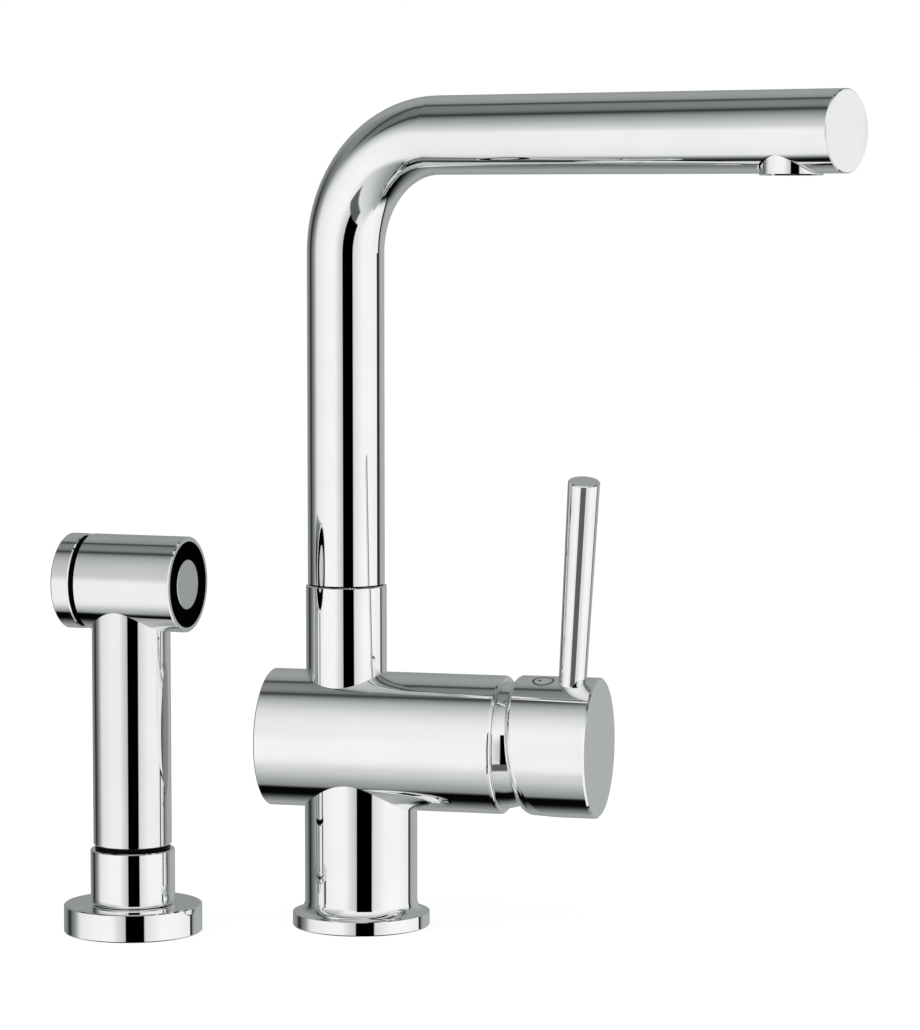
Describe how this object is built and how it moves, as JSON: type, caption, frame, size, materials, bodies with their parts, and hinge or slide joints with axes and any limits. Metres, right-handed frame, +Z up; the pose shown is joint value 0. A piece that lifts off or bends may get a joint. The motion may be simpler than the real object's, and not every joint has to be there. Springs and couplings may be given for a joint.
{
  "type": "kitchen mixer tap",
  "caption": "Single-lever kitchen mixer: horizontal valve barrel on a round pedestal, L-shaped swivel spout with closed end, and a pull-out hand spray in its own deck holder.",
  "frame": {"origin": "centre of the mixer's pedestal on the deck plane", "axes": "+Z up, +X along the valve barrel towards its handle, -Y towards the user"},
  "size_m": [0.296, 0.1129, 0.301],
  "materials": {
    "chrome": "polished chrome plating on brass and zinc",
    "brass": "turned, unplated",
    "copper": "drawn copper tube",
    "valve_plastic": "moulded acetal",
    "ceramic": "lapped aluminium oxide",
    "steel": "stainless",
    "mark_metal": "polished inlay with a dark sunk ring",
    "badge_metal": "satin, bare",
    "seal_rubber": "matt black",
    "black_plastic": "black acetal",
    "button_rubber": "matt black",
    "nozzle_rubber": "dark grey silicone",
    "insert_plastic": "light grey"
  },
  "bodies": {
    "root": {"pedestal": "chrome", "connection_plate": "brass", "deck_seal": "seal_rubber", "barrel": "chrome", "inlet_pipes": "copper", "spray_pipe": "copper", "cartridge_housing": "valve_plastic", "cartridge_base": "valve_plastic", "cartridge_seals": "seal_rubber", "fixed_ceramic_disc": "ceramic", "cartridge_nut": "brass", "dome_cover": "chrome", "diverter_sleeve": "valve_plastic", "diverter_spring": "steel", "spout_set_screw": "steel", "spout_washer": "seal_rubber", "holder_flange": "chrome", "holder_sleeve": "chrome", "holder_bush": "black_plastic", "holder_seal": "seal_rubber"},
    "valve_turn": {"stem_guide": "valve_plastic", "stem_pivot_pin": "steel"},
    "valve_disc": {"moving_ceramic_disc": "ceramic", "disc_carrier": "valve_plastic"},
    "handle": {"cartridge_stem": "brass", "handle_cap": "chrome", "lever_pin": "chrome", "lever_set_screw": "steel", "temperature_mark": "mark_metal"},
    "spout": {"spout_tube": "chrome", "spout_spigot": "brass", "spout_o_rings": "seal_rubber", "spout_end_cap": "chrome", "aerator_socket": "brass", "aerator_housing": "chrome", "aerator_insert": "insert_plastic", "aerator_washer": "seal_rubber"},
    "diverter": {"diverter_piston": "valve_plastic"},
    "hose_end": {"hose_plug": "black_plastic", "hose_plug_o_rings": "seal_rubber", "check_valve": "valve_plastic"},
    "hand_spray": {"spray_body": "chrome", "nozzle_ring": "chrome", "nozzle_gasket": "seal_rubber", "nozzle_plate": "nozzle_rubber", "valve_seat": "valve_plastic", "valve_spring": "steel"},
    "button": {"valve_plunger": "brass", "spray_button": "button_rubber", "button_badge": "badge_metal"}
  },
  "joints": [
    {"name": "spout_swivel", "type": "hinge", "parent": "root", "child": "spout", "pos_m": [-0.0054, 0, 0.11], "axis": [0, 0, 1], "continuous": true},
    {"name": "temperature_turn", "type": "hinge", "parent": "root", "child": "valve_turn", "pos_m": [0.0538, 0, 0.0681], "axis": [1, 0, 0], "range_deg": [-59.2, 30.8]},
    {"name": "flow_lift", "type": "hinge", "parent": "valve_turn", "child": "handle", "pos_m": [0.0538, 0, 0.0681], "axis": [0, 0.9694, 0.2453], "range_deg": [0, 18]},
    {"name": "disc_slide", "type": "slide", "parent": "valve_turn", "child": "valve_disc", "axis": [0, -0.2453, 0.9694], "range_m": [0, 0.0031]},
    {"name": "diverter_drop", "type": "slide", "parent": "root", "child": "diverter", "axis": [0, 0, -1], "range_m": [0, 0.003], "stiffness_N_per_m": 150, "springref_m": -0.002, "deforming": ["diverter_spring"]},
    {"name": "spray_lift", "type": "slide", "parent": "root", "child": "hose_end", "axis": [0, 0, 1], "range_m": [0, 0.15]},
    {"name": "spray_turn", "type": "hinge", "parent": "hose_end", "child": "hand_spray", "pos_m": [-0.0765, -0.033, 0.04], "axis": [0, 0, 1], "continuous": true},
    {"name": "button_press", "type": "slide", "parent": "hand_spray", "child": "button", "axis": [-0.9952, 0.0976, 0], "range_m": [0, 0.0025], "stiffness_N_per_m": 800, "springref_m": -0.002, "deforming": ["valve_spring"]}
  ],
  "couplings": [
    {"joint": "disc_slide", "follows": "flow_lift", "m_per_rad": 0.00964}
  ]
}
